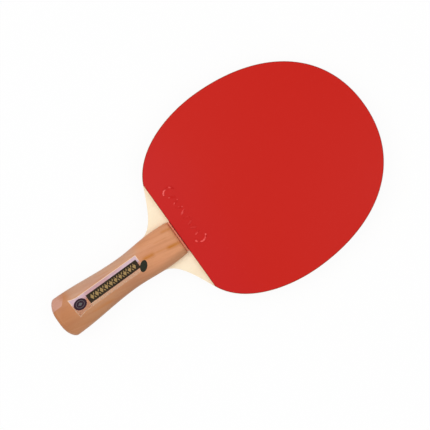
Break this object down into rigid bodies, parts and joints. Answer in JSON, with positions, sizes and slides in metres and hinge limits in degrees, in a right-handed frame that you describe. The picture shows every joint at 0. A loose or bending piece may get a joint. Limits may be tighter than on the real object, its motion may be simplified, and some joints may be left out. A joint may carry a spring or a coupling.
{
  "type": "table tennis racket",
  "caption": "Racket with an egg-shaped plywood blade, a flared wooden handle and a smooth rubber on each face, red in front and black behind.",
  "frame": {"origin": "centre of the butt end's flat face, on the middle plane of the blade", "axes": "+Y from the butt end to the top of the head, +Z out of the front (red) face, X across the blade"},
  "size_m": [0.15, 0.2632, 0.0246],
  "materials": {
    "core_wood": "matte",
    "cross_wood": "matte",
    "face_wood": "satin",
    "grip_wood": "satin",
    "sponge": "matte",
    "red_rubber": "satin",
    "black_rubber": "satin"
  },
  "bodies": {
    "root": {"blade_core_ply": "core_wood", "blade_front_cross_ply": "cross_wood", "blade_back_cross_ply": "cross_wood", "blade_front_face_ply": "face_wood", "blade_back_face_ply": "face_wood", "handle_front_scale": "grip_wood", "handle_back_scale": "grip_wood", "front_sponge": "sponge", "back_sponge": "sponge", "front_topsheet": "red_rubber", "back_topsheet": "black_rubber"}
  },
  "joints": []
}
